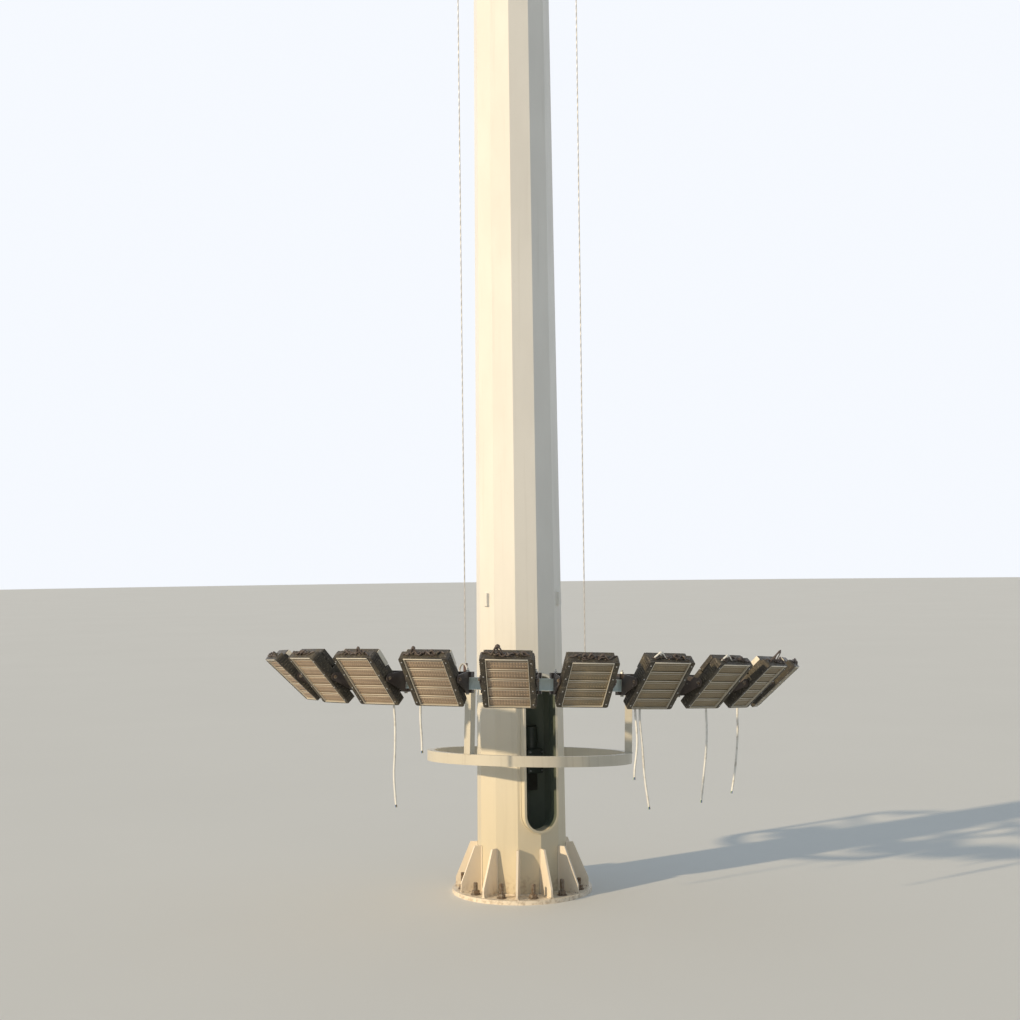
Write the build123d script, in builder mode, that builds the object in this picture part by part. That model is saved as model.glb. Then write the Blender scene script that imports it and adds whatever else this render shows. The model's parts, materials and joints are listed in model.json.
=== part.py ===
from build123d import *
import math
import os

os.makedirs("parts", exist_ok=True)

# Millimetres. The origin is the centre of the base flange's underside and +Z is up.
# A bearing is in degrees seen from above: 0 faces -Y, and it grows towards +X.

# Clearances
seat_gap = 0.3  # between rigid pieces that are bolted or welded together
swing_gap = 6  # between a lamp and its bracket

# Shaft: a folded tapered tube with flat sides, in three sections that slip over each other
shaft_sides = 12
shaft_height = 25000
shaft_bottom_across = 620  # corner to corner, at the underside of the flange
shaft_top_across = 262
first_corner = -4.5
lower_top = 8600
middle_top = 17000
lower_lap = 800
upper_lap = 600
lower_wall = 8
middle_wall = 7
upper_wall = 6

# Base flange, its anchor holes and its gussets
flange_radius = 484
flange_thick = 28
anchor_circle = 830
anchor_count = 12
anchor_hole_radius = 18
cable_hole_radius = 75
cable_hole_offset = 130
gusset_thick = 14
gusset_top = 335
gusset_top_width = 50
gusset_foot_radius = 462
gusset_nose = 60

# Door opening in the lowest section, with a frame and no leaf
door_bearing = 25.5
door_bottom = 455
door_top = 1505
door_width = 224
door_frame_wall = 16
door_frame_front = 325
door_frame_depth = 95

# Stop lugs on the shaft, one on the flat under each hoist rope
lug_width = 42
lug_height = 89
lug_thick = 20
lug_bottom = 1977

# Winch behind the door
drum_height = 880
drum_radius = 70
drum_length = 150
drum_end_radius = 95
drum_end_thick = 8
drum_axle_radius = 15
drum_left = -110
cheek_thick = 12
cheek_height = 160
winch_plate_thick = 10
winch_plate_height = 460
winch_plate_gap = 15
gearbox_width = 120
gearbox_height = 170
gearbox_depth = 150
motor_radius = 45
motor_length = 150
gearbox_corner = 8
main_rope_radius = 5

# Head: a plate on the shaft with three arms, each with a sheave for one hoist rope
rope_count = 3
rope_circle_radius = 480
rope_radius = 4
first_rope = -49.5
head_plate_radius = 260
head_plate_thick = 12
head_hole_radius = 70
head_arm_reach = 545
head_arm_height = 180
head_arm_thick = 8
sheave_radius = 70
sheave_width = 24
sheave_groove = 6
sheave_axle_radius = 10
sheave_axle_height = 90
sheave_side_gap = 4
cover_radius = 560
cover_thick = 3
cover_skirt = 110
cover_rise = 170
cover_edge = 15
cover_lip = 60
rod_radius = 8
rod_length = 900
rod_socket_radius = 22
rod_socket_length = 60

# Lamp ring, hanging a little to one side of the shaft and out of level
ring_offset = 71
hang_height = 1222  # the ring leans about its own middle at this height
ring_lean = 1.53  # degrees, right side down
ring_pitch = 4.35  # degrees, front up
cage_radius = 710
cage_width = 50
cage_height = 70
cage_bottom = 892
upper_cage_height = 40
upper_cage_top = 1424
post_size = 50
post_count = 3
first_post = -36
ring_turn = 3.1  # bearing of the middle of the lamp beam
beam_arc = 160
beam_inner = 1487
beam_depth = 40
beam_wall = 5
beam_bottom = 1396
beam_height = 74
arm_count = 4
arm_spread = 48
arm_width = 50
arm_height = 45
arm_inset = 70
anchor_width = 85
anchor_plate_thick = 12
anchor_upstand_thick = 10
anchor_upstand_height = 56
socket_radius = 14
socket_height = 80
docked_gap = 300  # from the highest rope socket to the head plate, with the ring raised

# Floodlights on the beam, each tilted by hand: how far its light face looks down from level
lamp_dips = (48, 44.2, 43.8, 44.2, 42.8, 47.2, 43.9, 46, 46, 46)
lamp_step = 15.94
lamp_width = 319
lamp_length = 394
lamp_body_thick = 60
lamp_corner = 14
pocket_width = 250
pocket_length = 379
pocket_depth = 14
recess_wall = 12  # round the fins on the lamp's back
fin_height = 35
fin_thick = 3
fin_count = 13
module_count = 5
module_gap = 4
module_side_gap = 3
module_thick = 10
back_box_width = 280  # of the driver box and of the heat sink below it
driver_start = 52
driver_length = 120
driver_thick = 45
sink_start = -80
sink_length = 125
sink_thick = 40
pivot_radius = 8
pivot_depth = 35
pivot_clear = 0.3
pivot_reach = 148  # outwards from the beam
pivot_rise = 26  # above the middle of the beam
bracket_thick = 6
bracket_eye_radius = 26
bracket_half_bar = 183
top_bar_width = 50
top_bar_height = 34
bottom_bar_width = 37
bottom_bar_height = 20
bracket_web = 16
bar_inset = 15

# Lamp leads that hang from clips under the brackets
lead_radius = 7
clip_radius = 11
clip_height = 16
lead_bend_share = 0.45  # of the shorter leg beside each bend


def spot(bearing, radius, height=0, centre=0):
    """A point at a bearing and radius round an upright axis at x = centre."""
    turn = math.radians(bearing)
    return Vector(centre + radius * math.sin(turn), -radius * math.cos(turn), height)


def facing(bearing, radius=0, height=0, centre=0):
    """A plane that faces outwards: x runs round to the right and y runs up."""
    turn = math.radians(bearing)
    return Plane(
        origin=spot(bearing, radius, height, centre),
        x_dir=(math.cos(turn), math.sin(turn), 0),
        z_dir=(math.sin(turn), -math.cos(turn), 0),
    )


def section(bearing, along=0, centre=0):
    """An upright plane through the axis: x is the radius, y is the height."""
    turn = math.radians(bearing)
    return Plane(
        origin=(centre + along * math.cos(turn), along * math.sin(turn), 0),
        x_dir=(math.sin(turn), -math.cos(turn), 0),
        z_dir=(-math.cos(turn), -math.sin(turn), 0),
    )


def save(piece, node):
    """Label one finished piece and write it."""
    piece.label = node
    export_step(piece, f"parts/{node}.step")


# Sizes that follow from the ones above
flat = math.cos(math.pi / shaft_sides)
shaft_start = flange_thick + seat_gap
middle_step = (middle_wall + seat_gap) / flat
upper_step = middle_step + (upper_wall + seat_gap) / flat
anchor_bearing = first_corner + 180 / shaft_sides
door_height = door_top - door_bottom
door_middle = (door_top + door_bottom) / 2
drum_back = drum_radius + main_rope_radius + seat_gap
winch_back = drum_back + drum_end_radius + winch_plate_gap
head_base = shaft_height + seat_gap
head_top = head_base + head_plate_thick
axle_height = head_top + sheave_axle_height
groove_half = sheave_width / 4
groove_seat = rope_radius * math.hypot(sheave_groove, groove_half) / groove_half
sheave_centre = (
    rope_circle_radius - seat_gap - groove_seat - (sheave_radius - sheave_groove)
)
arm_top = head_top + head_arm_height
upper_cage_bottom = upper_cage_top - upper_cage_height
cage_top = cage_bottom + cage_height
cage_middle = cage_radius - cage_width / 2
beam_outer = beam_inner + beam_depth
beam_top = beam_bottom + beam_height
anchor_base = upper_cage_top + seat_gap
socket_top = anchor_base + anchor_upstand_height + socket_height
hang_centre = Vector(ring_offset, 0, hang_height)
pivot_circle = beam_outer + pivot_reach
pivot_height = beam_bottom + beam_height / 2 + pivot_rise
bracket_inside = lamp_width / 2 + swing_gap
bracket_outside = bracket_inside + bracket_thick
rope_bearings = [first_rope + step * 360 / rope_count for step in range(rope_count)]
lamp_bearings = [
    ring_turn + (number - (len(lamp_dips) - 1) / 2) * lamp_step
    for number in range(len(lamp_dips))
]


def hung(piece):
    """A piece of the level ring, leaned the way the ring hangs."""
    leaned = piece.rotate(Axis(hang_centre, (0, 1, 0)), ring_lean)
    return leaned.rotate(Axis(hang_centre, (1, 0, 0)), -ring_pitch)


def hung_point(point):
    """Where a point of the level ring is once the ring leans."""
    arm = (point - hang_centre).rotate(Axis.Y, ring_lean)
    return hang_centre + arm.rotate(Axis.X, -ring_pitch)


def level_point(point):
    """Where a point of the leaning ring would be on the level ring."""
    arm = (point - hang_centre).rotate(Axis.X, ring_pitch)
    return hang_centre + arm.rotate(Axis.Y, -ring_lean)


def lean_gap(radius):
    """Room for the level end of a rope or lead over a leaning face."""
    return seat_gap + radius * math.tan(math.radians(ring_lean + ring_pitch))


def socket_point(bearing):
    """The middle of a rope socket's top on the level ring, right under its rope once hung."""
    low = level_point(spot(bearing, rope_circle_radius, hang_height))
    up = level_point(spot(bearing, rope_circle_radius, hang_height + 1)) - low
    return low + up * ((socket_top - low.Z) / up.Z)


def corner_radius(height):
    """Distance from the axis to the lowest section's corners at a height."""
    fall = (shaft_bottom_across - shaft_top_across) / 2
    return shaft_bottom_across / 2 - fall * height / shaft_height


def tapered(low, high, outset):
    """A solid of the shaft's outline between two heights, grown by outset at its corners."""
    with BuildPart() as body:
        for height in (low, high):
            with BuildSketch(Plane.XY.offset(height)):
                RegularPolygon(
                    corner_radius(height) + outset, shaft_sides, rotation=first_corner
                )
        loft()
    return body.part


def tapered_tube(low, high, outset, wall):
    """One hollow section of the shaft."""
    with BuildPart() as tube:
        add(tapered(low, high, outset))
        add(tapered(low, high, outset - wall / flat), mode=Mode.SUBTRACT)
    return tube.part


# The base flange, on which the whole mast stands
with BuildPart() as base_flange:
    with BuildSketch():
        Circle(flange_radius)
        with Locations(spot(door_bearing + 180, cable_hole_offset)):
            Circle(cable_hole_radius, mode=Mode.SUBTRACT)
        with PolarLocations(
            anchor_circle / 2, anchor_count, start_angle=anchor_bearing - 90
        ):
            Circle(anchor_hole_radius, mode=Mode.SUBTRACT)
    extrude(amount=flange_thick)
save(base_flange.part, "base_flange")

# A gusset on each corner of the shaft, tapering from the flange up to the shaft
with BuildPart() as base_gussets:
    gusset_bottom = flange_thick + seat_gap
    for step in range(shaft_sides):
        with BuildSketch(section(first_corner + step * 360 / shaft_sides)):
            with BuildLine():
                Polyline(
                    (corner_radius(gusset_bottom) + seat_gap, gusset_bottom),
                    (gusset_foot_radius, gusset_bottom),
                    (gusset_foot_radius, gusset_bottom + gusset_nose),
                    (corner_radius(gusset_top) + gusset_top_width, gusset_top),
                    (corner_radius(gusset_top) + seat_gap, gusset_top),
                    close=True,
                )
            make_face()
        extrude(amount=gusset_thick / 2, both=True)
save(base_gussets.part, "base_gussets")

# The lowest section of the shaft, with the door opening cut through its wall
with BuildPart() as shaft_lower:
    add(tapered_tube(shaft_start, lower_top, 0, lower_wall))
    with BuildSketch(facing(door_bearing, 0, door_middle)):
        SlotOverall(
            door_height + 2 * (door_frame_wall + seat_gap),
            door_width + 2 * (door_frame_wall + seat_gap),
            rotation=90,
        )
    extrude(amount=shaft_bottom_across, mode=Mode.SUBTRACT)
save(shaft_lower.part, "shaft_lower")

# The middle section slips over the lowest one, and the upper section over the middle one
with BuildPart() as shaft_middle:
    add(tapered_tube(lower_top - lower_lap, middle_top, middle_step, middle_wall))
save(shaft_middle.part, "shaft_middle")

with BuildPart() as shaft_upper:
    add(tapered_tube(middle_top - upper_lap, shaft_height, upper_step, upper_wall))
save(shaft_upper.part, "shaft_upper")

# The frame welded into the door opening stands proud of the shaft all the way round
with BuildPart() as door_frame:
    with BuildSketch(
        facing(door_bearing, door_frame_front - door_frame_depth, door_middle)
    ):
        SlotOverall(
            door_height + 2 * door_frame_wall,
            door_width + 2 * door_frame_wall,
            rotation=90,
        )
        SlotOverall(door_height, door_width, rotation=90, mode=Mode.SUBTRACT)
    extrude(amount=door_frame_depth)
save(door_frame.part, "door_frame")

# Stop lugs welded to the flats of the shaft
with BuildPart() as shaft_lugs:
    lug_seat = corner_radius(lug_bottom) * flat + seat_gap
    for bearing in rope_bearings:
        with BuildSketch(facing(bearing, lug_seat, lug_bottom + lug_height / 2)):
            Rectangle(lug_width, lug_height)
        extrude(amount=lug_thick)
save(shaft_lugs.part, "shaft_lugs")

# The winch plate crosses the shaft behind the drum and carries two cheeks
drum_right = drum_left + drum_length
cheek_left = drum_left - swing_gap - cheek_thick
cheek_right = drum_right + swing_gap
with BuildPart() as winch_plate:
    with BuildSketch(facing(door_bearing, -winch_back, drum_height)):
        Rectangle(2 * shaft_bottom_across, winch_plate_height)
    extrude(amount=-winch_plate_thick)
    add(
        tapered(shaft_start, lower_top, -(lower_wall + seat_gap) / flat),
        mode=Mode.INTERSECT,
    )
    for side in (cheek_left, cheek_right):
        with BuildSketch(facing(door_bearing, -winch_back, drum_height)):
            with Locations((side + cheek_thick / 2, 0)):
                Rectangle(cheek_thick, cheek_height)
        extrude(amount=winch_back - drum_back + 2 * drum_axle_radius)
    with BuildSketch(section(door_bearing)):
        with Locations((-drum_back, drum_height)):
            Circle(drum_axle_radius + pivot_clear)
    extrude(amount=shaft_bottom_across, both=True, mode=Mode.SUBTRACT)
save(winch_plate.part, "winch_plate")

# The rope drum, with its end flanges and its axle in the cheeks
with BuildPart() as winch_drum:
    for start, length, radius in (
        (drum_left, drum_length, drum_radius),
        (drum_left, drum_end_thick, drum_end_radius),
        (drum_right - drum_end_thick, drum_end_thick, drum_end_radius),
        (cheek_left, cheek_right + cheek_thick - cheek_left, drum_axle_radius),
    ):
        with BuildSketch(section(door_bearing, start)):
            with Locations((-drum_back, drum_height)):
                Circle(radius)
        extrude(amount=-length)
save(winch_drum.part, "winch_drum")

# The gearbox on the outside of the right cheek, with its motor on top
gearbox_left = cheek_right + cheek_thick + seat_gap
with BuildPart() as winch_gearbox:
    with BuildSketch(facing(door_bearing, -drum_back - gearbox_depth / 2, drum_height)):
        with Locations((gearbox_left + gearbox_width / 2, 0)):
            Rectangle(gearbox_width, gearbox_height)
    extrude(amount=gearbox_depth)
    fillet(winch_gearbox.edges(), gearbox_corner)
    with BuildSketch(Plane.XY.offset(drum_height + gearbox_height / 2)):
        centre = facing(door_bearing).from_local_coords(
            Vector(gearbox_left + gearbox_width / 2, 0, -drum_back)
        )
        with Locations((centre.X, centre.Y)):
            Circle(motor_radius)
    extrude(amount=motor_length)
save(winch_gearbox.part, "winch_gearbox")

# The main rope runs straight up the middle of the shaft from the drum
with BuildPart() as main_rope:
    with BuildSketch(Plane.XY.offset(drum_height)):
        Circle(main_rope_radius)
    extrude(amount=shaft_height - drum_height)
save(main_rope.part, "main_rope")

# The head plate and its three pairs of arm cheeks, welded together
arm_side = sheave_width / 2 + sheave_side_gap
with BuildPart() as head_frame:
    with BuildSketch(Plane.XY.offset(head_base)):
        Circle(head_plate_radius)
        Circle(head_hole_radius, mode=Mode.SUBTRACT)
    extrude(amount=head_plate_thick)
    for bearing in rope_bearings:
        for side in (-1, 1):
            middle = side * (arm_side + head_arm_thick / 2)
            with BuildSketch(section(bearing, middle)):
                with BuildLine():
                    Polyline(
                        (head_hole_radius + head_arm_thick, head_top),
                        (head_plate_radius, head_top),
                        (head_arm_reach, axle_height - sheave_radius / 2),
                        (head_arm_reach, arm_top),
                        (head_hole_radius + head_arm_thick, arm_top),
                        close=True,
                    )
                make_face()
                with Locations((sheave_centre, axle_height)):
                    Circle(sheave_axle_radius + seat_gap, mode=Mode.SUBTRACT)
            extrude(amount=head_arm_thick / 2, both=True)
save(head_frame.part, "head_frame")

# Grooved sheaves on their axles between the arm cheeks
with BuildPart() as head_sheaves:
    for bearing in rope_bearings:
        with BuildSketch(section(bearing)):
            with Locations((sheave_centre, axle_height)):
                Circle(sheave_axle_radius)
        extrude(amount=arm_side + head_arm_thick, both=True)
        hub = spot(bearing, sheave_centre, axle_height)
        with BuildSketch(
            Plane(origin=hub, x_dir=(0, 0, 1), z_dir=facing(bearing).z_dir)
        ):
            half = sheave_width / 2
            with BuildLine():
                Polyline(
                    (0, -half),
                    (sheave_radius, -half),
                    (sheave_radius, -groove_half),
                    (sheave_radius - sheave_groove, 0),
                    (sheave_radius, groove_half),
                    (sheave_radius, half),
                    (0, half),
                    close=True,
                )
            make_face()
        revolve(axis=Axis(hub, facing(bearing).x_dir))
save(head_sheaves.part, "head_sheaves")

# The rain cover is a low cone with a skirt, and its lip rests on the arms
with BuildPart() as head_cover:
    lip = arm_top + seat_gap
    inside = cover_radius - cover_thick
    with BuildSketch(Plane.XZ):
        with BuildLine():
            Polyline(
                (0, lip + cover_rise),
                (rod_socket_radius, lip + cover_rise),
                (cover_radius, lip + cover_edge),
                (cover_radius, lip - cover_skirt),
                (inside, lip - cover_skirt),
                (inside, lip),
                (cover_radius - cover_lip, lip),
                (cover_radius - cover_lip, lip + cover_thick),
                (inside, lip + cover_thick),
                (inside, lip + cover_edge - cover_thick),
                (rod_socket_radius, lip + cover_rise - cover_thick),
                (0, lip + cover_rise - cover_thick),
                close=True,
            )
        make_face()
    revolve(axis=Axis.Z)
save(head_cover.part, "head_cover")

# The lightning rod in its socket on top of the cover
with BuildPart() as lightning_rod:
    rod_base = arm_top + cover_rise + 2 * seat_gap
    with BuildSketch(Plane.XY.offset(rod_base)):
        Circle(rod_socket_radius)
    extrude(amount=rod_socket_length)
    with BuildSketch(Plane.XY.offset(rod_base + rod_socket_length)):
        Circle(rod_radius)
    extrude(amount=rod_length)
save(lightning_rod.part, "lightning_rod")

# Three hoist ropes from the sheaves down to the lamp ring
rope_ends = [
    hung_point(socket_point(bearing)).Z + lean_gap(rope_radius) for bearing in rope_bearings
]
with BuildPart() as hoist_ropes:
    for bearing, low in zip(rope_bearings, rope_ends):
        place = spot(bearing, rope_circle_radius)
        with BuildSketch(Plane.XY.offset(low)):
            with Locations((place.X, place.Y)):
                Circle(rope_radius)
        extrude(amount=axle_height - low)
save(hoist_ropes.part, "hoist_ropes")


def hoop(bottom, height):
    """A level square-section hoop of the cage, round the ring's own axis."""
    with BuildPart() as ring:
        with BuildSketch(Plane.XY.offset(bottom)):
            with Locations((ring_offset, 0)):
                Circle(cage_radius)
                Circle(cage_radius - cage_width, mode=Mode.SUBTRACT)
        extrude(amount=height)
    return ring.part


# The two hoops of the cage and the posts between them
with BuildPart() as lower_cage_ring:
    add(hoop(cage_bottom, cage_height))
save(hung(lower_cage_ring.part), "lower_cage_ring")

with BuildPart() as upper_cage_ring:
    add(hoop(upper_cage_bottom, upper_cage_height))
save(hung(upper_cage_ring.part), "upper_cage_ring")

with BuildPart() as cage_posts:
    for step in range(post_count):
        bearing = first_post + step * 360 / post_count
        low = cage_top + seat_gap
        high = upper_cage_bottom - seat_gap
        with BuildSketch(
            facing(bearing, cage_middle - post_size / 2, (low + high) / 2, ring_offset)
        ):
            Rectangle(post_size, high - low)
        extrude(amount=post_size)
save(hung(cage_posts.part), "cage_posts")

# Arms lie on the upper hoop and run out to the back of the lamp beam
with BuildPart() as ring_arms:
    for step in range(arm_count):
        bearing = ring_turn + (step - (arm_count - 1) / 2) * arm_spread
        start = cage_radius - arm_inset
        middle = upper_cage_top + seat_gap + arm_height / 2
        with BuildSketch(facing(bearing, start, middle, ring_offset)):
            Rectangle(arm_width, arm_height)
        extrude(
            amount=math.sqrt(beam_inner**2 - (arm_width / 2) ** 2) - seat_gap - start
        )
save(hung(ring_arms.part), "ring_arms")

# The lamp beam is a channel bent to half a circle, with its toes outwards
with BuildPart() as lamp_beam:
    with BuildSketch(section(ring_turn - beam_arc / 2, 0, ring_offset)):
        with Locations((beam_inner + beam_depth / 2, beam_bottom + beam_height / 2)):
            Rectangle(beam_depth, beam_height)
        with Locations(
            (beam_inner + beam_wall + beam_depth / 2, beam_bottom + beam_height / 2)
        ):
            Rectangle(beam_depth, beam_height - 2 * beam_wall, mode=Mode.SUBTRACT)
    revolve(
        axis=Axis((ring_offset, 0, 0), (0, 0, 1)),
        revolution_arc=beam_arc,
    )
save(hung(lamp_beam.part), "lamp_beam")

# Rope anchors: a plate bolted on the upper hoop, an upstand and the rope's end socket
with BuildPart() as rope_anchors:
    for bearing in rope_bearings:
        place = socket_point(bearing)
        reach = math.hypot(place.X - ring_offset, place.Y)
        turn = math.degrees(math.atan2(place.X - ring_offset, -place.Y))
        inner = reach - anchor_width / 2
        plate_middle = anchor_base + anchor_plate_thick / 2
        with BuildSketch(facing(turn, inner, plate_middle, ring_offset)):
            Rectangle(anchor_width, anchor_plate_thick)
        extrude(amount=cage_radius - inner)
        upstand = facing(
            turn,
            reach - anchor_upstand_thick / 2,
            anchor_base + anchor_upstand_height / 2,
            ring_offset,
        )
        with BuildSketch(upstand):
            Rectangle(anchor_width, anchor_upstand_height)
        extrude(amount=anchor_upstand_thick)
        with BuildSketch(Plane.XY.offset(plate_middle)):
            with Locations((place.X, place.Y)):
                Circle(socket_radius)
        extrude(amount=socket_top - plate_middle)
save(hung(rope_anchors.part), "rope_anchors")

# Lamp brackets: bars clamp the beam from above and below, and two cheeks reach out to
# the lamp's pivots
top_bar_low = beam_top + seat_gap
top_bar_high = top_bar_low + top_bar_height
bottom_bar_high = beam_bottom - seat_gap
bottom_bar_low = bottom_bar_high - bottom_bar_height
bar_inner = beam_inner - bar_inset
web_inner = beam_outer + seat_gap
with BuildPart() as lamp_brackets:
    for bearing in lamp_bearings:
        with BuildSketch(section(bearing, 0, ring_offset)):
            with Locations(
                (bar_inner + top_bar_width / 2, (top_bar_low + top_bar_high) / 2)
            ):
                Rectangle(top_bar_width, top_bar_height)
            with Locations(
                (
                    bar_inner + bottom_bar_width / 2,
                    (bottom_bar_low + bottom_bar_high) / 2,
                )
            ):
                Rectangle(bottom_bar_width, bottom_bar_height)
        extrude(amount=bracket_half_bar, both=True)
        for side in (-1, 1):
            middle = side * (bracket_inside + bracket_thick / 2)
            with BuildSketch(section(bearing, middle, ring_offset)):
                with BuildLine():
                    Polyline(
                        (bar_inner, bottom_bar_low),
                        (web_inner + bracket_web, bottom_bar_low),
                        (pivot_circle, pivot_height - bracket_eye_radius),
                        (pivot_circle, pivot_height + bracket_eye_radius),
                        (web_inner + bracket_web, top_bar_high),
                        (bar_inner, top_bar_high),
                        (bar_inner, top_bar_low),
                        (web_inner, top_bar_low),
                        (web_inner, bottom_bar_high),
                        (bar_inner, bottom_bar_high),
                        close=True,
                    )
                make_face()
                with Locations((pivot_circle, pivot_height)):
                    Circle(bracket_eye_radius)
                    Circle(pivot_radius + pivot_clear, mode=Mode.SUBTRACT)
            extrude(amount=bracket_thick / 2, both=True)
save(hung(lamp_brackets.part), "lamp_brackets")


def lamp_plane(bearing, lamp_dip):
    """The lamp's face: x runs round to the right, y up the slope and z with the light."""
    dip = math.radians(lamp_dip)
    pivot = facing(bearing, pivot_circle, pivot_height, ring_offset)
    light = pivot.z_dir * math.cos(dip) - Vector(0, 0, 1) * math.sin(dip)
    return Plane(origin=pivot.origin + light * pivot_depth, x_dir=pivot.x_dir, z_dir=light)


recess_width = lamp_width - 2 * recess_wall
recess_length = lamp_length - 2 * recess_wall
row_step = (pocket_length - module_gap) / module_count
for number, (bearing, lamp_dip) in enumerate(zip(lamp_bearings, lamp_dips), start=1):
    face = lamp_plane(bearing, lamp_dip)
    # The cast housing has a pocket in front for the modules, a recess behind for the fins
    # and a pivot stub on each side. The fins, the driver box and the heat sink are bolted on
    with BuildPart() as lamp_housing:
        with BuildSketch(face):
            RectangleRounded(lamp_width, lamp_length, lamp_corner)
        extrude(amount=-lamp_body_thick)
        with BuildSketch(face):
            Rectangle(pocket_width, pocket_length)
        extrude(amount=-pocket_depth, mode=Mode.SUBTRACT)
        with BuildSketch(face.offset(-lamp_body_thick)):
            Rectangle(recess_width, recess_length)
        extrude(amount=fin_height, mode=Mode.SUBTRACT)
        for side in (-1, 1):
            stub = Vector(side * (lamp_width / 2 - recess_wall), 0, -pivot_depth)
            with BuildSketch(
                Plane(
                    origin=face.from_local_coords(stub), x_dir=face.y_dir, z_dir=face.x_dir
                )
            ):
                Circle(pivot_radius)
            extrude(amount=side * (bracket_outside - lamp_width / 2 + recess_wall))
        with BuildSketch(face.offset(-lamp_body_thick)):
            with GridLocations(recess_width / (fin_count + 1), 1, fin_count, 1):
                Rectangle(fin_thick, recess_length - 2 * seat_gap)
        extrude(amount=fin_height - seat_gap)
        for start, length, thick in (
            (driver_start, driver_length, driver_thick),
            (sink_start, sink_length, sink_thick),
        ):
            with BuildSketch(face.offset(-lamp_body_thick - seat_gap)):
                with Locations((0, start + length / 2)):
                    RectangleRounded(back_box_width, length, lamp_corner / 2)
            extrude(amount=-thick)
    save(hung(lamp_housing.part), f"lamp_{number:02d}_housing")
    # Rows of light modules across the pocket
    with BuildPart() as lamp_modules:
        with BuildSketch(face.offset(-pocket_depth + seat_gap)):
            with GridLocations(1, row_step, 1, module_count):
                Rectangle(pocket_width - 2 * module_side_gap, row_step - module_gap)
        extrude(amount=module_thick)
    save(hung(lamp_modules.part), f"lamp_{number:02d}_modules")

# The lamp leads hang from clips under the brackets' lower bars. Each has its lamp, its
# place along the bar, and its route as steps to the right, outwards and down
lead_routes = {
    "lead_a": (3, 36, [(0, 0, 40), (4, -2, 100), (12, 0, 185), (16, 6, 285), (8, 2, 385),
                       (2, 6, 490), (10, 8, 590), (16, 4, 680)]),
    "lead_b": (4, -165, [(0, 0, 40), (-5, -2, 100), (-2, 2, 180), (6, 4, 265), (5, 0, 340)]),
    "lead_c": (7, -52, [(0, 0, 40), (4, -2, 100), (10, 2, 180), (12, 6, 270), (4, 2, 360),
                        (-8, 0, 430), (-12, 4, 480)]),
    "lead_d": (7, -14, [(0, 0, 40), (-4, -2, 100), (-2, 4, 190), (8, 8, 290), (16, 4, 390),
                        (26, 0, 490), (38, 4, 585), (50, 6, 665)]),
    "lead_e": (8, 125, [(0, 0, 40), (5, -2, 105), (6, 2, 200), (-6, 6, 310), (-20, 2, 420),
                        (-38, 0, 530), (-60, 4, 635)]),
    "lead_f": (9, 168, [(0, 0, 40), (-4, -2, 100), (-2, 0, 190), (-6, -4, 290),
                        (-16, -10, 400), (-30, -18, 505), (-46, -30, 605)]),
}


def lead_mouth(lamp, along):
    """The plane of one lead's clip where it meets the level ring's bar, facing outwards."""
    plane = facing(lamp_bearings[lamp - 1], bar_inner + clip_radius, 0, ring_offset)
    plane.origin = plane.from_local_coords(Vector(along, bottom_bar_low - seat_gap, 0))
    return plane


with BuildPart() as lead_clips:
    for lamp, along, route in lead_routes.values():
        place = lead_mouth(lamp, along).origin
        with BuildSketch(Plane(origin=place, z_dir=(0, 0, -1))):
            Circle(clip_radius)
        extrude(amount=clip_height)
save(hung(lead_clips.part), "lead_clips")

for node, (lamp, along, route) in lead_routes.items():
    mouth = lead_mouth(lamp, along)
    clip_end = hung_point(mouth.origin - Vector(0, 0, clip_height))
    points = [clip_end - Vector(0, 0, lean_gap(lead_radius))]
    for across, outward, down in route:
        points.append(
            points[0]
            + mouth.x_dir * across
            + mouth.z_dir * outward
            - Vector(0, 0, down)
        )
    radii = []
    for before, corner, after in zip(points, points[1:], points[2:]):
        arriving = corner - before
        leaving = after - corner
        half_turn = math.radians(arriving.get_angle(leaving)) / 2
        shorter = min(arriving.length, leaving.length)
        radii.append(lead_bend_share * shorter / math.tan(half_turn))
    with BuildPart() as lead:
        with BuildLine() as path:
            FilletPolyline(*points, radius=radii)
        with BuildSketch(Plane(origin=points[0], z_dir=points[1] - points[0])):
            Circle(lead_radius)
        sweep(path=path.line)
    save(lead.part, node)
    length = path.wires()[0].length
    share = lead.part.volume / (math.pi * lead_radius**2 * length)
    print(node, "length", round(length), "tightest", round(min(radii)),
          "volume share", round(share, 4))

highest_socket = max(hung_point(socket_point(bearing)).Z for bearing in rope_bearings)
print("ring travel", shaft_height - docked_gap - highest_socket, "axle height", axle_height)
print("rope ends", rope_ends, "pivots at", pivot_circle, pivot_height)
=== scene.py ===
import json
import math
import random

import bmesh
import bpy
from mathutils import Matrix, Vector


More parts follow.
